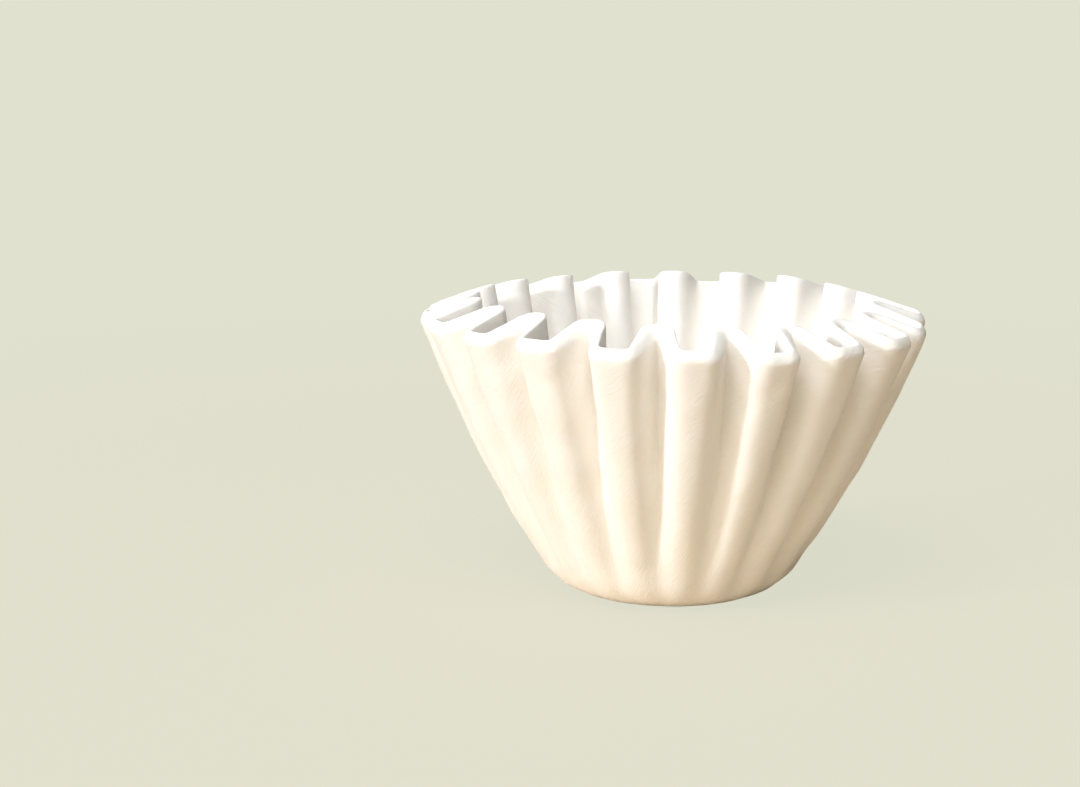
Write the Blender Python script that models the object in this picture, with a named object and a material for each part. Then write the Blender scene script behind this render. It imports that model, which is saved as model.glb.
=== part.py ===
"""Flat-bottomed coffee filter: one sheet of paper gathered into upright flutes.

Lengths are in metres and +Z is up. The origin is the middle of the underside, and the front is at -Y.
The sheet lies flat in a round base, bends up through a rounded corner and leans outward to the rim.
Its wall is gathered into flutes. A rib is the outer crest of a flute and a fold is its inner one.
Fold lines rise more steeply than rib lines, so the rim stands higher at each fold than at each rib.
The cup is a little uneven, as pressed paper is: it leans to the right (+X) and its rim is warped.
Radii and heights are those of the middle of the sheet, unless a name says otherwise.
"""
import math

import bmesh
import bpy
from mathutils import Vector

# Flutes around the wall, and the first rib's direction, turned from the front towards +X.
FLUTE_COUNT = 20
FIRST_RIB_TURN = math.radians(1.8)

# The sheet: its thickness, and how far the rim's inner edge stands above its outer edge, up the wall.
SHEET_THICKNESS = 0.0020
RIM_SLANT = 0.0010

# The base: the radius of its flat part, and the bends that lead from it into a rib and into a fold.
BASE_FLAT_RADIUS = 0.0140
RIB_CORNER_RADIUS = 0.0110
FOLD_CORNER_RADIUS = 0.0055

# The rim at a rib, the fold's place next to it, and how far the wall bows out between base and rim.
RIM_RADIUS = 0.0497
RIM_HEIGHT = 0.0547
FLUTE_DEPTH = 0.0090
FOLD_RISE = 0.0032
WALL_BOW = 0.0009

# The form of a flute in plan. Squareness 0 is a plain wave, and 1 has flat crests on upright flanks.
# It grows with this power of the way up. A sharpness over 1 makes the folds narrower than the ribs.
BASE_SQUARENESS = 0.4
RIM_SQUARENESS = 1.0
SQUARENESS_POWER = 2.0
FOLD_SHARPNESS = 1.2

# Unevenness of the whole cup: how far the rim leans towards +X, how much lower it is on that side,
# how far it is warped up and down in four quarters, and how far the flutes crowd together at the back.
RIM_LEAN = 0.0013
RIM_DROP = 0.0006
RIM_WARP = 0.0004
FLUTE_CROWDING = math.radians(2.0)

# Unevenness of the ribs: how far one strays sideways, outward and in height. Each kind of stray is a
# wave whose step from rib to rib is the golden angle, so that it doesn't repeat round the cup, and
# the three waves start at different angles, so that they don't go together.
RIB_STRAY_ANGLE = math.radians(0.4)
RIB_STRAY_RADIUS = 0.0003
RIB_STRAY_HEIGHT = 0.0003
STRAY_STEP = math.pi * (3 - math.sqrt(5))
ANGLE_WAVE_START = 0.0
RADIUS_WAVE_START = 1.0
HEIGHT_WAVE_START = 2.0

# How finely the sheet is divided.
COLUMNS_PER_FLUTE = 18
CORNER_ROWS = 4
WALL_ROWS = 3
NORMAL_STEP = 0.001

PAPER_COLOUR = (0.93, 0.87, 0.78, 1.0)
PAPER_ROUGHNESS = 0.9
SHARP_EDGE_ANGLE = math.radians(50.0)


def mix(first, second, share):
    """The value that lies the given share of the way from the first to the second."""
    return first + (second - first) * share


def stray(rib, sideways, amount, wave_start):
    """How far the sheet strays between one rib and the next, from what each of the two ribs does.

    The amount is the most that a rib strays either way.
    """
    here = math.sin(rib % FLUTE_COUNT * STRAY_STEP + wave_start)
    beside = math.sin((rib + 1) % FLUTE_COUNT * STRAY_STEP + wave_start)
    return amount * mix(here, beside, sideways)


def line_up_the_wall(corner_radius, rim_radius, rim_height, climb):
    """Radius and height on one line of the wall, at a share of the way from the flat base to the rim.

    The line is an arc that leaves the base flat, then a straight stretch that ends at the rim. The
    whole line bows outward a little, square to the straight stretch.
    """
    across = rim_radius - BASE_FLAT_RADIUS
    up = rim_height - SHEET_THICKNESS / 2 - corner_radius
    reach = math.hypot(across, up)
    slope = math.atan2(up, across) + math.asin(corner_radius / reach)
    arc_length = corner_radius * slope
    straight_length = math.sqrt(reach ** 2 - corner_radius ** 2)

    distance = climb * (arc_length + straight_length)
    turned = min(distance / corner_radius, slope)
    beyond = max(distance - arc_length, 0.0)
    bow = WALL_BOW * math.sin(math.pi * climb) * turned / slope
    radius = BASE_FLAT_RADIUS + corner_radius * math.sin(turned) + beyond * math.cos(slope)
    height = SHEET_THICKNESS / 2 + corner_radius * (1 - math.cos(turned)) + beyond * math.sin(slope)
    return radius + bow * math.sin(turned), height - bow * math.cos(turned)


def sheet_point(turn, climb):
    """A point in the middle of the sheet.

    The turn counts flutes from the first rib, so its whole numbers are ribs and its halves are folds.
    """
    rib = math.floor(turn)
    phase = turn - rib
    squareness = mix(BASE_SQUARENESS, RIM_SQUARENESS, climb ** SQUARENESS_POWER)
    sideways = phase + squareness * math.sin(4 * math.pi * phase) / (4 * math.pi)
    inward = (0.5 - 0.5 * math.cos(2 * math.pi * phase)) ** FOLD_SHARPNESS

    around = FIRST_RIB_TURN + (rib + sideways) * 2 * math.pi / FLUTE_COUNT
    crowding = FLUTE_CROWDING * (1 - math.cos(around))
    around += crowding + stray(rib, sideways, RIB_STRAY_ANGLE, ANGLE_WAVE_START)
    rim_radius = RIM_RADIUS + stray(rib, sideways, RIB_STRAY_RADIUS, RADIUS_WAVE_START)
    rim_height = RIM_HEIGHT + stray(rib, sideways, RIB_STRAY_HEIGHT, HEIGHT_WAVE_START)
    rim_height -= RIM_DROP * math.sin(around) + RIM_WARP * math.sin(2 * around)

    rib_radius, rib_height = line_up_the_wall(RIB_CORNER_RADIUS, rim_radius, rim_height, climb)
    fold_radius, fold_height = line_up_the_wall(
        FOLD_CORNER_RADIUS, rim_radius - FLUTE_DEPTH, rim_height + FOLD_RISE, climb)
    radius = mix(rib_radius, fold_radius, inward)
    return Vector((
        radius * math.sin(around) + RIM_LEAN * climb,
        -radius * math.cos(around),
        mix(rib_height, fold_height, inward)))


def outward_normal(turn, climb):
    """The sheet's direction outward, square to the paper, from two short steps along it."""
    along = sheet_point(turn + NORMAL_STEP, climb) - sheet_point(turn - NORMAL_STEP, climb)
    upward = sheet_point(turn, climb + NORMAL_STEP) - sheet_point(turn, max(climb - NORMAL_STEP, 0.0))
    return along.cross(upward).normalized()


def straight_wall_length():
    """The wall's length from the flat base straight to the rim at a rib."""
    return math.hypot(RIM_RADIUS - BASE_FLAT_RADIUS, RIM_HEIGHT)


def skin_ring(climb, side):
    """The points of one closed ring on the outer skin (side 1) or the inner skin (side -1)."""
    level = climb * (1 - side * RIM_SLANT / 2 / straight_wall_length())
    turns = [column / COLUMNS_PER_FLUTE for column in range(FLUTE_COUNT * COLUMNS_PER_FLUTE)]
    half_thickness = side * SHEET_THICKNESS / 2
    return [sheet_point(turn, level) + outward_normal(turn, level) * half_thickness for turn in turns]


def climbs():
    """The rows of the wall: close together in the corner, wide apart on the straight stretch."""
    corner_bend = math.atan2(RIM_HEIGHT, RIM_RADIUS - BASE_FLAT_RADIUS)
    corner_share = RIB_CORNER_RADIUS * corner_bend / straight_wall_length()
    corner = [corner_share * row / CORNER_ROWS for row in range(CORNER_ROWS)]
    wall = [mix(corner_share, 1.0, row / WALL_ROWS) for row in range(WALL_ROWS + 1)]
    return corner + wall


def filter_paper_mesh():
    """The closed sheet: up the outer skin, over the rim and down the inner skin, with two flat caps."""
    rows = climbs()
    rings = [skin_ring(climb, 1) for climb in rows]
    rings += [skin_ring(climb, -1) for climb in reversed(rows)]

    sheet = bmesh.new()
    loops = [[sheet.verts.new(point) for point in ring] for ring in rings]
    for lower, upper in zip(loops, loops[1:]):
        for column, vertex in enumerate(lower):
            beside = (column + 1) % len(lower)
            sheet.faces.new((vertex, lower[beside], upper[beside], upper[column]))
    underside = sheet.faces.new(reversed(loops[0]))
    floor = sheet.faces.new(loops[-1])
    bmesh.ops.poke(sheet, faces=[underside, floor])
    bmesh.ops.recalc_face_normals(sheet, faces=sheet.faces)

    mesh = bpy.data.meshes.new("filter_paper")
    sheet.to_mesh(mesh)
    sheet.free()
    mesh.shade_smooth()
    mesh.set_sharp_from_angle(angle=SHARP_EDGE_ANGLE)
    return mesh


def paper_material():
    """Uncoated white filter paper, slightly warm."""
    material = bpy.data.materials.new("filter_paper_white")
    material.use_nodes = True
    surface = material.node_tree.nodes["Principled BSDF"]
    surface.inputs["Base Color"].default_value = PAPER_COLOUR
    surface.inputs["Roughness"].default_value = PAPER_ROUGHNESS
    surface.inputs["Metallic"].default_value = 0.0
    return material


for old_object in list(bpy.data.objects):
    bpy.data.objects.remove(old_object)

filter_paper = bpy.data.objects.new("filter_paper", filter_paper_mesh())
filter_paper.data.materials.append(paper_material())
bpy.context.scene.collection.objects.link(filter_paper)
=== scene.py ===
import math

import bpy
from mathutils import Matrix, Vector


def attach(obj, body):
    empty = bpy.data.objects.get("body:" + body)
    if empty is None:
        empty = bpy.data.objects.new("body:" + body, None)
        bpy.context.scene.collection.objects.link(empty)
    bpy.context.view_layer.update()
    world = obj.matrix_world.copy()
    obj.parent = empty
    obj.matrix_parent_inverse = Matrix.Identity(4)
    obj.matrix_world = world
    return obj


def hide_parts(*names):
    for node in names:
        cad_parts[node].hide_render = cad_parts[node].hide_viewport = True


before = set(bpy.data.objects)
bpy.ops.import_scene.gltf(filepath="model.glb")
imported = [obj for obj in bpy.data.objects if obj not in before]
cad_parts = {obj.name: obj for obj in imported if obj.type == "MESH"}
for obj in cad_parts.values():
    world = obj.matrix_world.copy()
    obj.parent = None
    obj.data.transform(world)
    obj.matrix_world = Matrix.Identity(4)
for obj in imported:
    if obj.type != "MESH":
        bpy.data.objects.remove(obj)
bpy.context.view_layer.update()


# Camera
# It stands half a metre in front of the cup and looks a little down into it. It stands to the left, so
# the cup is right of the middle of the picture. Its distances back, left and up are along its own
# tilted axes, from a point inside the cup. Lengths are in metres, and lens and sensor in millimetres.
LOOK_DOWN = math.radians(10.13)
MEASURED_FROM = Vector((0.0, 0.0, 0.027))
STANDS_BACK = 0.500
STANDS_LEFT = 0.02565
STANDS_UP = 0.01189
LENS = 84.2
SENSOR_WIDTH = 36.0
NEAREST_SEEN = 0.01

camera_data = bpy.data.cameras.new("camera")
camera_data.sensor_fit = "HORIZONTAL"
camera_data.sensor_width = SENSOR_WIDTH
camera_data.lens = LENS
camera_data.clip_start = NEAREST_SEEN
camera = bpy.data.objects.new("camera", camera_data)
bpy.context.scene.collection.objects.link(camera)
tilt = Matrix.Rotation(math.radians(90.0) - LOOK_DOWN, 4, "X")
stands = Vector((-STANDS_LEFT, STANDS_UP, STANDS_BACK))
camera.matrix_world = Matrix.Translation(MEASURED_FROM) @ tilt @ Matrix.Translation(stands)
bpy.context.scene.camera = camera


# Filter paper
# One sheet of soft white filter paper, pressed into a flat round base and a wall of twenty flutes that
# stand open. A rib is the outer crest of a flute and a fold is its inner one. Nothing is fixed to it.

# The form of the middle of the sheet. The flute's flat, edge and fold are its sizes at the rim.
SHEET_SIZES = {
    "flutes": 20,
    "first rib turn": math.radians(1.8),
    "sheet thickness": 0.0020,
    "base flat radius": 0.0140,
    "rib corner radius": 0.0105,
    "fold corner radius": 0.0090,
    "rim radius": 0.0491,
    "rim height": 0.0547,
    "flute depth": 0.0090,
    "fold rise": 0.0030,
    "depth power": 0.35,
    "wall bow": 0.0022,
    "rib flat width": 0.0034,
    "rib edge radius": 0.0021,
    "fold radius": 0.0016,
    "form power": 1.5,
    "rim lean": 0.0005,
    "rim drop": 0.0006,
    "rim warp": 0.0004,
    "flute crowding": math.radians(2.0),
    "rib stray angle": math.radians(0.4),
    "rib stray radius": 0.0003,
    "rib stray height": 0.0003,
    "stray step": math.pi * (3 - math.sqrt(5)),
    "angle wave start": 0.0,
    "radius wave start": 1.0,
    "height wave start": 2.0,
}

# What the two skins add to it: the inner skin's fullness at the folds, how far the rim's inner edge
# stands above its outer edge, the rim's rounding, the cockles, and the creases' slant from level.
SKIN_SIZES = {
    "fold fullness": 0.0010,
    "rib slant": 0.0014,
    "fold slant": 0.0020,
    "rounded edge height": 0.0009,
    "cockle size": 0.0075,
    "cockle height": 0.00035,
    "crease slant": math.radians(55.0),
}

# How finely the paper is divided. Rows crowd towards the base, and columns towards ribs and folds. A
# short step along the sheet tells which way it faces.
PAPER_COUNTS = {
    "columns": 800,
    "base rows": 5,
    "wall rows": 51,
    "edge rows": 10,
}
ROW_CROWDING = 1.2
COLUMN_CROWDING = 0.4
SHORT_STEP = 0.001

# The rim's section is a plain ellipse at 1 and nearer to an oblong below it. The cockles are full height
# from the share 1 / growth of the way up the wall.
EDGE_ROUNDNESS = 0.8
COCKLE_DETAIL = 1.5
COCKLE_ROUGHNESS = 0.5
COCKLE_GROWTH = 6.0
FULL_TURN = 2 * math.pi

# The colours, finish and fine relief of the paper. The glow's reach is for red, green and blue light.
THIN_PULP_COLOUR = (0.940, 0.905, 0.840, 1.0)
THICK_PULP_COLOUR = (0.965, 0.940, 0.895, 1.0)
CUT_RIM_COLOUR = (0.940, 0.910, 0.850, 1.0)
PULP_SIZE = 0.0024
PULP_DETAIL = 4.0
PULP_ROUGHNESS = 0.6
PAPER_ROUGHNESS = 0.92
PAPER_GLOSS = 0.25
PAPER_GLOW = 0.2
GLOW_SCALE = 0.0020
GLOW_REACH = (1.0, 0.7, 0.45)
CREASE_WIDTH = 0.00042
CREASE_LENGTH = 0.0014
CREASE_HEIGHT = 0.00010
CREASE_DETAIL = 2.0
CREASE_ROUGHNESS = 0.5
FIBRE_SIZE = 0.0002
FIBRE_SHARE = 0.3
FIBRE_DETAIL = 2.0
FIBRE_ROUGHNESS = 0.6


class Quantity:
    """A number that maths nodes work out at every point, so that a rule can be written as arithmetic."""

    def __init__(self, tree, socket):
        self.tree = tree
        self.socket = socket

    def __add__(self, other):
        return maths(self.tree, "ADD", self, other)

    def __sub__(self, other):
        return maths(self.tree, "SUBTRACT", self, other)

    def __rsub__(self, other):
        return maths(self.tree, "SUBTRACT", other, self)

    def __mul__(self, other):
        return maths(self.tree, "MULTIPLY", self, other)

    def __truediv__(self, other):
        return maths(self.tree, "DIVIDE", self, other)

    def __rtruediv__(self, other):
        return maths(self.tree, "DIVIDE", other, self)

    def __pow__(self, other):
        return maths(self.tree, "POWER", self, other)

    __radd__ = __add__
    __rmul__ = __mul__


def fill(tree, inlet, value):
    """Gives a node's inlet a quantity, a socket or a plain value."""
    if isinstance(value, Quantity):
        tree.links.new(value.socket, inlet)
    elif isinstance(value, bpy.types.NodeSocket):
        tree.links.new(value, inlet)
    else:
        inlet.default_value = value


def maths(tree, operation, *values):
    node = tree.nodes.new("ShaderNodeMath")
    node.operation = operation
    for inlet, value in zip(node.inputs, values):
        fill(tree, inlet, value)
    return Quantity(tree, node.outputs[0])


def place(tree, kind, **values):
    """A node of that kind, with its inlets filled by name."""
    node = tree.nodes.new(kind)
    for name, value in values.items():
        fill(tree, node.inputs[name.replace("_", " ")], value)
    return node


def sine(angle):
    return maths(angle.tree, "SINE", angle)


def cosine(angle):
    return maths(angle.tree, "COSINE", angle)


def root(value):
    return maths(value.tree, "SQRT", value)


def at_most(value, limit):
    return maths(value.tree, "MINIMUM", value, limit)


def at_least(value, limit):
    return maths(value.tree, "MAXIMUM", value, limit)


def within(value, low, high):
    return at_most(at_least(value, low), high)


def mix(first, second, share):
    """The value that lies the given share of the way from the first to the second."""
    return first + (second - first) * share


def noise(tree, where, size, detail, roughness):
    """Soft random clouds of about that size, from 0 to 1."""
    node = place(
        tree, "ShaderNodeTexNoise", Vector=where, Scale=1 / size, Detail=detail, Roughness=roughness)
    return Quantity(tree, node.outputs[0])


def vector_maths(tree, operation, first, second=None, scale=None):
    node = tree.nodes.new("ShaderNodeVectorMath")
    node.operation = operation
    fill(tree, node.inputs[0], first)
    if second is not None:
        fill(tree, node.inputs[1], second)
    if scale is not None:
        fill(tree, node.inputs["Scale"], scale)
    return node.outputs["Vector"]


def start_tree(name, inlets, outlets):
    """A new geometry tree with named inlets and outlets, its inlets as quantities and its end node."""
    tree = bpy.data.node_groups.new(name, "GeometryNodeTree")
    for label, kind in inlets.items():
        tree.interface.new_socket(label, in_out="INPUT", socket_type=kind)
    for label, kind in outlets.items():
        tree.interface.new_socket(label, in_out="OUTPUT", socket_type=kind)
    start = tree.nodes.new("NodeGroupInput")
    end = tree.nodes.new("NodeGroupOutput")
    return tree, {label: Quantity(tree, start.outputs[label]) for label in inlets}, end


def place_group(tree, group, values):
    """Places one tree inside another and fills each of its inlets from the value of the same name."""
    node = tree.nodes.new("GeometryNodeGroup")
    node.node_tree = group
    for inlet in node.inputs:
        fill(tree, inlet, values[inlet.name])
    return node


def wall_line_tree():
    """One line up the wall: an arc that leaves the base flat, then a straight stretch, bowed a little."""
    inlets = (
        "base flat radius", "sheet thickness", "wall bow", "corner radius", "rim radius", "rim height",
        "climb")
    tree, size, end = start_tree(
        "line up the wall", dict.fromkeys(inlets, "NodeSocketFloat"),
        {"radius": "NodeSocketFloat", "height": "NodeSocketFloat"})
    corner = size["corner radius"]
    across = size["rim radius"] - size["base flat radius"]
    up = size["rim height"] - size["sheet thickness"] / 2 - corner
    reach = root(across * across + up * up)
    slope = maths(tree, "ARCTAN2", up, across) + maths(tree, "ARCSINE", corner / reach)
    arc = corner * slope
    straight = root(reach * reach - corner * corner)

    distance = size["climb"] * (arc + straight)
    turned = at_most(distance / corner, slope)
    beyond = at_least(distance - arc, 0.0)
    bow = size["wall bow"] * sine(size["climb"] * math.pi) * turned / slope
    radius = size["base flat radius"] + corner * sine(turned) + beyond * cosine(slope)
    height = size["sheet thickness"] / 2 + corner * (1 - cosine(turned)) + beyond * sine(slope)
    fill(tree, end.inputs["radius"], radius + bow * sine(turned))
    fill(tree, end.inputs["height"], height - bow * cosine(turned))
    return tree


def flute_form_tree():
    """One flute in plan: at the rim a flat rib, a rounded edge, a straight flank and a rounded fold.

    The form grows up the wall out of a plain wave at the base. The turn counts flutes from the first
    rib. The results are how far round the flute the point lies, and how far it lies inward from the rib
    to the fold, both as shares.
    """
    inlets = (
        "flutes", "rim radius", "flute depth", "rib flat width", "rib edge radius", "fold radius",
        "form power", "turn", "climb")
    tree, size, end = start_tree(
        "form of a flute", dict.fromkeys(inlets, "NodeSocketFloat"),
        {"sideways": "NodeSocketFloat", "inward": "NodeSocketFloat"})
    depth = size["flute depth"]
    flat = size["rib flat width"] / 2
    edge = size["rib edge radius"]
    fold = size["fold radius"]
    pitch = (size["rim radius"] - depth / 2) * FULL_TURN / size["flutes"]
    across = pitch / 2 - flat
    up = depth - edge - fold
    reach = root(across * across + up * up)
    slope = maths(tree, "ARCTAN2", up, across) + maths(tree, "ARCSINE", (edge + fold) / reach)
    flank = root(reach * reach - (edge + fold) * (edge + fold))

    # The path runs from the middle of the rib to the middle of the fold, and back on the far side.
    phase = size["turn"] - maths(tree, "FLOOR", size["turn"])
    path = (1 - maths(tree, "ABSOLUTE", phase * 2 - 1)) * (flat + edge * slope + flank + fold * slope)
    on_flat = at_most(path, flat)
    edge_turned = within((path - flat) / edge, 0.0, slope)
    on_flank = within(path - flat - edge * slope, 0.0, flank)
    fold_left = slope - at_least((path - flat - edge * slope - flank) / fold, 0.0)
    x = on_flat + edge * sine(edge_turned) + on_flank * cosine(slope)
    x = x + fold * (sine(slope) - sine(fold_left))
    y = edge * (1 - cosine(edge_turned)) + on_flank * sine(slope)
    y = y + fold * (cosine(fold_left) - cosine(slope))

    past_fold = maths(tree, "GREATER_THAN", phase, 0.5)
    rim_sideways = mix(x / pitch, 1 - x / pitch, past_fold)
    wave_inward = (1 - cosine(phase * FULL_TURN)) / 2
    formed = size["climb"] ** size["form power"]
    fill(tree, end.inputs["sideways"], mix(phase, rim_sideways, formed))
    fill(tree, end.inputs["inward"], mix(wave_inward, y / depth, formed))
    return tree


def sheet_point_tree(wall_line, flute_form):
    """A point in the middle of the sheet.

    The turn counts flutes from the first rib, and the climb is the share of the way up the wall. The
    base share brings the point from the middle of the flat base, at 0, to its edge, at 1.
    """
    inlets = dict.fromkeys([*SHEET_SIZES, "turn", "climb", "base share"], "NodeSocketFloat")
    tree, size, end = start_tree("point of the sheet", inlets, {"point": "NodeSocketVector"})
    climb = size["climb"]
    rib = maths(tree, "FLOOR", size["turn"])
    form = place_group(tree, flute_form, size)
    sideways, inward = [Quantity(tree, form.outputs[name]) for name in ("sideways", "inward")]

    def stray(amount, wave_start):
        """A wave that steps by the golden angle from rib to rib, and runs straight between two ribs."""
        ribs = [maths(tree, "FLOORED_MODULO", rib + step, size["flutes"]) for step in (0, 1)]
        here, beside = [sine(number * size["stray step"] + wave_start) for number in ribs]
        return amount * mix(here, beside, sideways)

    around = size["first rib turn"] + (rib + sideways) * FULL_TURN / size["flutes"]
    crowding = size["flute crowding"] * (1 - cosine(around))
    around = around + crowding + stray(size["rib stray angle"], size["angle wave start"])
    rim_radius = size["rim radius"] + stray(size["rib stray radius"], size["radius wave start"])
    rim_height = size["rim height"] + stray(size["rib stray height"], size["height wave start"])
    rim_height = rim_height - size["rim drop"] * sine(around) - size["rim warp"] * sine(around * 2)

    rib_line = place_group(tree, wall_line, {
        **size,
        "corner radius": size["rib corner radius"],
        "rim radius": rim_radius,
        "rim height": rim_height})
    fold_line = place_group(tree, wall_line, {
        **size,
        "corner radius": size["fold corner radius"],
        "rim radius": rim_radius - size["flute depth"],
        "rim height": rim_height + size["fold rise"]})
    folded = inward * climb ** size["depth power"]
    radius, height = [
        mix(Quantity(tree, rib_line.outputs[name]), Quantity(tree, fold_line.outputs[name]), folded)
        for name in ("radius", "height")]
    radius = radius - size["base flat radius"] * (1 - size["base share"])
    point = place(
        tree, "ShaderNodeCombineXYZ", X=radius * sine(around) + size["rim lean"] * climb,
        Y=radius * cosine(around) * -1, Z=height)
    fill(tree, end.inputs["point"], point.outputs["Vector"])
    return tree


def place_on_tube(tree, size, rows, skin_rows):
    """Where a point of the tube lies on the sheet.

    The tube's rings go out over the underside, up the outer skin, over the rim's edge, down the inner
    skin and in over the floor. The tube is 1 m long, so a ring's height tells which ring it is. The
    results are the turn, the base share, the share of the way up the skin, and the angle over the edge.
    """
    parts = place(
        tree, "ShaderNodeSeparateXYZ", Vector=tree.nodes.new("GeometryNodeInputPosition").outputs[0])
    x, y, z = [Quantity(tree, outlet) for outlet in parts.outputs]
    row = maths(tree, "ROUND", (z + 0.5) * rows)
    from_cap = at_most(row, rows - row)
    not_centre = maths(tree, "ROUND", root(x * x + y * y))
    base_share = at_most((from_cap + 1) / (size["base rows"] + 1), 1.0) * not_centre
    up_the_skin = within((from_cap - size["base rows"]) / size["wall rows"], 0.0, 1.0) ** ROW_CROWDING
    over_edge = within((row - skin_rows) / size["edge rows"], 0.0, 1.0) * math.pi
    turn = maths(tree, "ARCTAN2", y, x) * size["flutes"] / FULL_TURN
    turn = turn - sine(turn * 2 * FULL_TURN) * COLUMN_CROWDING / (2 * FULL_TURN)
    return turn, base_share, up_the_skin, over_edge


def cockles(tree, size, here, climb):
    """Shallow dents that the damp pulp leaves as it dries. The flat base has none."""
    clouds = noise(tree, here, size["cockle size"], COCKLE_DETAIL, COCKLE_ROUGHNESS)
    return (clouds - 0.5) * size["cockle height"] * 2 * at_most(climb * COCKLE_GROWTH, 1.0)


def write_note(tree, geometry, name, kind, value):
    """Notes a value at each point of a mesh, under a name that a material can read."""
    node = place(tree, "GeometryNodeStoreNamedAttribute", Geometry=geometry, Name=name)
    node.data_type = kind
    fill(tree, node.inputs["Value"], value)
    return node.outputs["Geometry"]


def place_for_creases(tree, size, turn, way, wall_length):
    """A point's place round the sheet and its way from the middle, twisted by the creases' slant.

    The material draws the fine creases of the paper along it, so they slant across the flutes.
    """
    middle_radius = size["base flat radius"] + wall_length / 2
    slant_turn = way * maths(tree, "TANGENT", math.pi / 2 - size["crease slant"]) / middle_radius
    angle = turn * FULL_TURN / size["flutes"] - slant_turn
    point = place(
        tree, "ShaderNodeCombineXYZ", X=middle_radius * cosine(angle), Y=middle_radius * sine(angle), Z=way)
    return point.outputs["Vector"]


def paper_tree(sheet_point, flute_form):
    """The whole paper: a closed tube of rings, shaped into the two skins, the rim and the base."""
    inlets = dict.fromkeys(PAPER_COUNTS, "NodeSocketInt")
    inlets.update(dict.fromkeys([*SHEET_SIZES, *SKIN_SIZES], "NodeSocketFloat"))
    inlets["paper"] = "NodeSocketMaterial"
    tree, size, end = start_tree("fluted paper", inlets, {"geometry": "NodeSocketGeometry"})

    skin_rows = size["base rows"] + size["wall rows"]
    rows = skin_rows * 2 + size["edge rows"]
    tube = place(
        tree, "GeometryNodeMeshCylinder",
        Vertices=size["columns"], Side_Segments=rows, Radius=1.0, Depth=1.0)
    tube.fill_type = "TRIANGLE_FAN"
    turn, base_share, up_the_skin, over_edge = place_on_tube(tree, size, rows, skin_rows)

    # The rim's edge is a rounded oblong: across the sheet from 1, outside, to -1, inside.
    cross = cosine(over_edge)
    across = maths(tree, "SIGN", cross) * maths(tree, "ABSOLUTE", cross) ** EDGE_ROUNDNESS
    lift = at_least(sine(over_edge), 0.0) ** EDGE_ROUNDNESS
    reach = size["rim radius"] - size["base flat radius"]
    wall_length = root(reach * reach + size["rim height"] * size["rim height"])
    edge_share = size["rounded edge height"] / wall_length
    climb = up_the_skin * (1 - edge_share) + edge_share * lift

    # The outer skin ends lower than the inner one, so the cut edge slants.
    form = place_group(tree, flute_form, {**size, "turn": turn, "climb": climb})
    inward = Quantity(tree, form.outputs["inward"])
    slant = mix(size["rib slant"], size["fold slant"], inward)
    climb = climb * (1 - across * slant / 2 / wall_length)

    def point(turn, climb, base_share):
        values = {**size, "turn": turn, "climb": climb, "base share": base_share}
        return place_group(tree, sheet_point, values).outputs["point"]

    here = point(turn, climb, 1.0)
    along = vector_maths(tree, "SUBTRACT", point(turn + SHORT_STEP, climb, 1.0), here)
    upward = vector_maths(tree, "SUBTRACT", point(turn, climb + SHORT_STEP, 1.0), here)
    normal = vector_maths(tree, "NORMALIZE", vector_maths(tree, "CROSS_PRODUCT", along, upward))
    fullness = at_least(across * -1, 0.0) * size["fold fullness"] * inward * climb
    stand_off = across * size["sheet thickness"] / 2 - fullness + cockles(tree, size, here, climb)
    middle = point(turn, climb, base_share)
    place_there = vector_maths(tree, "ADD", middle, vector_maths(tree, "SCALE", normal, scale=stand_off))

    # The notes are written on the tube, because the places above are read from it before it is shaped.
    way = base_share * size["base flat radius"] + climb * wall_length
    crease_place = place_for_creases(tree, size, turn, way, wall_length)
    noted = write_note(tree, tube.outputs["Mesh"], "crease_place", "FLOAT_VECTOR", crease_place)
    noted = write_note(tree, noted, "rim_edge", "FLOAT", lift)
    shaped = place(tree, "GeometryNodeSetPosition", Geometry=noted, Position=place_there)
    smooth = place(tree, "GeometryNodeSetShadeSmooth", Geometry=shaped.outputs["Geometry"])
    real = place(tree, "GeometryNodeRealizeInstances", Geometry=smooth.outputs["Geometry"])
    painted = place(
        tree, "GeometryNodeSetMaterial", Geometry=real.outputs["Geometry"], Material=size["paper"])
    fill(tree, end.inputs["geometry"], painted.outputs["Geometry"])
    return tree


def read_note(tree, name):
    """What the mesh notes at each point under that name."""
    node = tree.nodes.new("ShaderNodeAttribute")
    node.attribute_name = name
    return node


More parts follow.
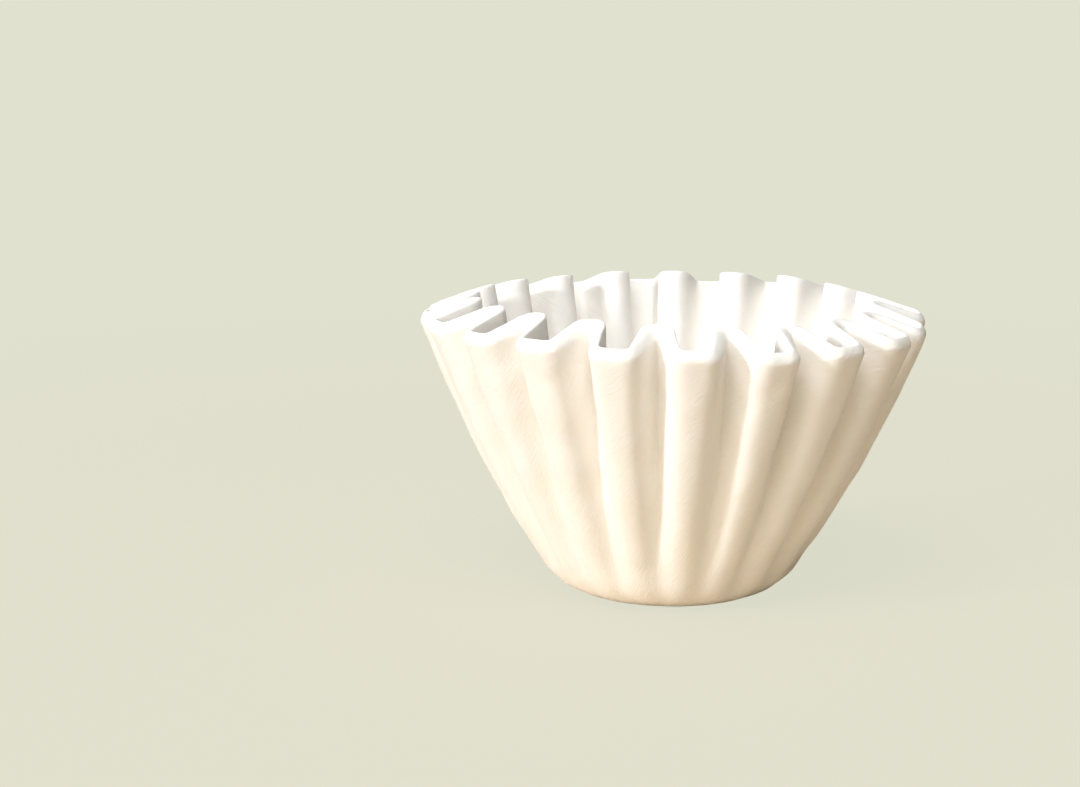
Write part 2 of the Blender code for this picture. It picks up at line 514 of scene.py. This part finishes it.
def paper_material():
    """Soft uncoated paper: warm white with clouds of pulp, even on its cut rim, and finely creased."""
    material = bpy.data.materials.new("white_filter_paper")
    material.use_nodes = True
    tree = material.node_tree
    surface = tree.nodes["Principled BSDF"]
    surface.inputs["Roughness"].default_value = PAPER_ROUGHNESS
    surface.inputs["Subsurface Weight"].default_value = PAPER_GLOW
    surface.inputs["Subsurface Radius"].default_value = GLOW_REACH
    surface.inputs["Subsurface Scale"].default_value = GLOW_SCALE
    surface.inputs["Specular IOR Level"].default_value = PAPER_GLOSS
    where = tree.nodes.new("ShaderNodeTexCoord").outputs["Object"]

    shade = place(tree, "ShaderNodeMix", Factor=noise(tree, where, PULP_SIZE, PULP_DETAIL, PULP_ROUGHNESS))
    shade.data_type = "RGBA"
    shade.inputs["A"].default_value = THIN_PULP_COLOUR
    shade.inputs["B"].default_value = THICK_PULP_COLOUR
    rim = place(tree, "ShaderNodeMix", Factor=read_note(tree, "rim_edge").outputs["Fac"])
    rim.data_type = "RGBA"
    fill(tree, rim.inputs["A"], shade.outputs["Result"])
    rim.inputs["B"].default_value = CUT_RIM_COLOUR
    fill(tree, surface.inputs["Base Color"], rim.outputs["Result"])

    # The noise is stretched to the width and length of a crease, so its own size is 1.
    along_crease = place(
        tree, "ShaderNodeMapping", Vector=read_note(tree, "crease_place").outputs["Vector"],
        Scale=(1 / CREASE_WIDTH, 1 / CREASE_WIDTH, 1 / CREASE_LENGTH))
    creases = noise(tree, along_crease.outputs["Vector"], 1.0, CREASE_DETAIL, CREASE_ROUGHNESS)
    fibres = noise(tree, where, FIBRE_SIZE, FIBRE_DETAIL, FIBRE_ROUGHNESS)
    bump = place(
        tree, "ShaderNodeBump", Height=creases + fibres * FIBRE_SHARE, Strength=1.0, Distance=CREASE_HEIGHT)
    fill(tree, surface.inputs["Normal"], bump.outputs["Normal"])
    return material


def paper_object():
    """Runs the tree on an empty mesh and keeps what it makes as a plain mesh."""
    sheet = bpy.data.objects.new("filter_sheet", bpy.data.meshes.new("blank"))
    bpy.context.scene.collection.objects.link(sheet)
    modifier = sheet.modifiers.new("fluted paper", "NODES")
    flute_form = flute_form_tree()
    tree = paper_tree(sheet_point_tree(wall_line_tree(), flute_form), flute_form)
    modifier.node_group = tree
    values = {**SHEET_SIZES, **SKIN_SIZES, **PAPER_COUNTS, "paper": paper_material()}
    for socket in tree.interface.items_tree:
        if socket.in_out == "INPUT":
            modifier[socket.identifier] = values[socket.name]
    bpy.context.view_layer.update()
    shaped = sheet.evaluated_get(bpy.context.evaluated_depsgraph_get())
    mesh = bpy.data.meshes.new_from_object(shaped)
    sheet.modifiers.remove(modifier)
    sheet.data = mesh
    return sheet


filter_sheet = paper_object()
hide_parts("filter_paper")
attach(filter_sheet, "root")


# Floor
# A pale table that fades into the plain background a little way off. The cup stands on it, and it
# keeps only a trace of the cup's soft shadow. To the paper it is a warm table that gives back light.
BACKGROUND = (0.7529, 0.7529, 0.6240, 1.0)
FLOOR_REACH = 0.6
FADE_FROM = 0.12
FADE_TO = 0.45
FLOOR_COLOUR = (0.74, 0.61, 0.44, 1.0)
SHADOW_STRENGTH = 0.07


def plainly_seen(tree):
    """1 where a surface is seen directly, in gloss or through glass, and 0 where it only lights others."""
    path = tree.nodes.new("ShaderNodeLightPath")
    directly, in_gloss, through_glass = [
        Quantity(tree, path.outputs[name])
        for name in ("Is Camera Ray", "Is Glossy Ray", "Is Transmission Ray")]
    return at_least(at_least(directly, in_gloss), through_glass)


def floor_mesh():
    corners = [(-1, -1), (1, -1), (1, 1), (-1, 1)]
    mesh = bpy.data.meshes.new("floor")
    mesh.from_pydata([(x * FLOOR_REACH, y * FLOOR_REACH, 0.0) for x, y in corners], [], [(0, 1, 2, 3)])
    return mesh


def floor_material():
    """The background's own plain colour, with a little of the lit table mixed in round the cup."""
    material = bpy.data.materials.new("pale_floor")
    material.use_nodes = True
    tree = material.node_tree
    tree.nodes.clear()
    away = tree.nodes.new("ShaderNodeVectorMath")
    away.operation = "LENGTH"
    fill(tree, away.inputs[0], tree.nodes.new("ShaderNodeTexCoord").outputs["Object"])
    fade = place(
        tree, "ShaderNodeMapRange", Value=away.outputs["Value"], From_Min=FADE_FROM, From_Max=FADE_TO)
    fade.interpolation_type = "SMOOTHSTEP"
    plain = place(tree, "ShaderNodeEmission", Color=BACKGROUND, Strength=1.0)
    lit = place(tree, "ShaderNodeBsdfDiffuse", Color=FLOOR_COLOUR)
    shadow_share = (1 - Quantity(tree, fade.outputs[0])) * SHADOW_STRENGTH
    shader = tree.nodes.new("ShaderNodeMixShader")
    fill(tree, shader.inputs[0], plainly_seen(tree) * (1 - shadow_share))
    fill(tree, shader.inputs[1], lit.outputs[0])
    fill(tree, shader.inputs[2], plain.outputs[0])
    out = tree.nodes.new("ShaderNodeOutputMaterial")
    fill(tree, out.inputs["Surface"], shader.outputs[0])
    return material


floor = bpy.data.objects.new("floor", floor_mesh())
floor.data.materials.append(floor_material())
bpy.context.scene.collection.objects.link(floor)


# Light
# Plain studio light: a key lamp low at the left, a broad soft lamp high above the front, and a weaker
# one near table height at the front left, which reaches the lowest part of the wall. A lamp's turn is
# how far round to the left of the front it stands, and its rise is its angle above the table.
KEY_TURN = math.radians(60.0)
KEY_RISE = math.radians(20.0)
KEY_SOFTNESS = math.radians(8.0)
KEY_STRENGTH = 1.80
KEY_COLOUR = (0.91, 0.93, 1.0)
OVERHEAD_TURN = math.radians(20.0)
OVERHEAD_RISE = math.radians(60.0)
OVERHEAD_STRENGTH = 15.0
OVERHEAD_COLOUR = (0.97, 0.98, 1.0)
FRONT_TURN = math.radians(40.0)
FRONT_RISE = math.radians(4.0)
FRONT_STRENGTH = 3.5
FRONT_COLOUR = (1.0, 0.93, 0.82)
LAMP_AWAY = 1.2
LAMP_WIDTH = 0.8
ROOM_COLOUR = (0.02, 0.018, 0.015, 1.0)


def lamp(name, kind, turn, rise, strength, colour):
    """A lamp that shines on the cup from that side and height."""
    data = bpy.data.lights.new(name, kind)
    data.energy = strength
    data.color = colour
    stand = bpy.data.objects.new(name, data)
    towards = Vector((
        -math.sin(turn) * math.cos(rise),
        -math.cos(turn) * math.cos(rise),
        math.sin(rise)))
    stand.rotation_euler = towards.to_track_quat("Z", "Y").to_euler()
    stand.location = towards * LAMP_AWAY
    bpy.context.scene.collection.objects.link(stand)
    return data


key = lamp("key lamp", "SUN", KEY_TURN, KEY_RISE, KEY_STRENGTH, KEY_COLOUR)
key.angle = KEY_SOFTNESS
overhead = lamp("overhead lamp", "AREA", OVERHEAD_TURN, OVERHEAD_RISE, OVERHEAD_STRENGTH, OVERHEAD_COLOUR)
overhead.size = LAMP_WIDTH
front = lamp("front lamp", "AREA", FRONT_TURN, FRONT_RISE, FRONT_STRENGTH, FRONT_COLOUR)
front.size = LAMP_WIDTH

# The room is the plain background where it is seen, and gives the cup only a trace of light.
world = bpy.data.worlds.new("room")
world.use_nodes = True
bpy.context.scene.world = world
tree = world.node_tree
room = place(tree, "ShaderNodeMix", Factor=plainly_seen(tree))
room.data_type = "RGBA"
room.inputs["A"].default_value = ROOM_COLOUR
room.inputs["B"].default_value = BACKGROUND
fill(tree, tree.nodes["Background"].inputs["Color"], room.outputs["Result"])

bpy.context.scene.view_settings.view_transform = "Standard"
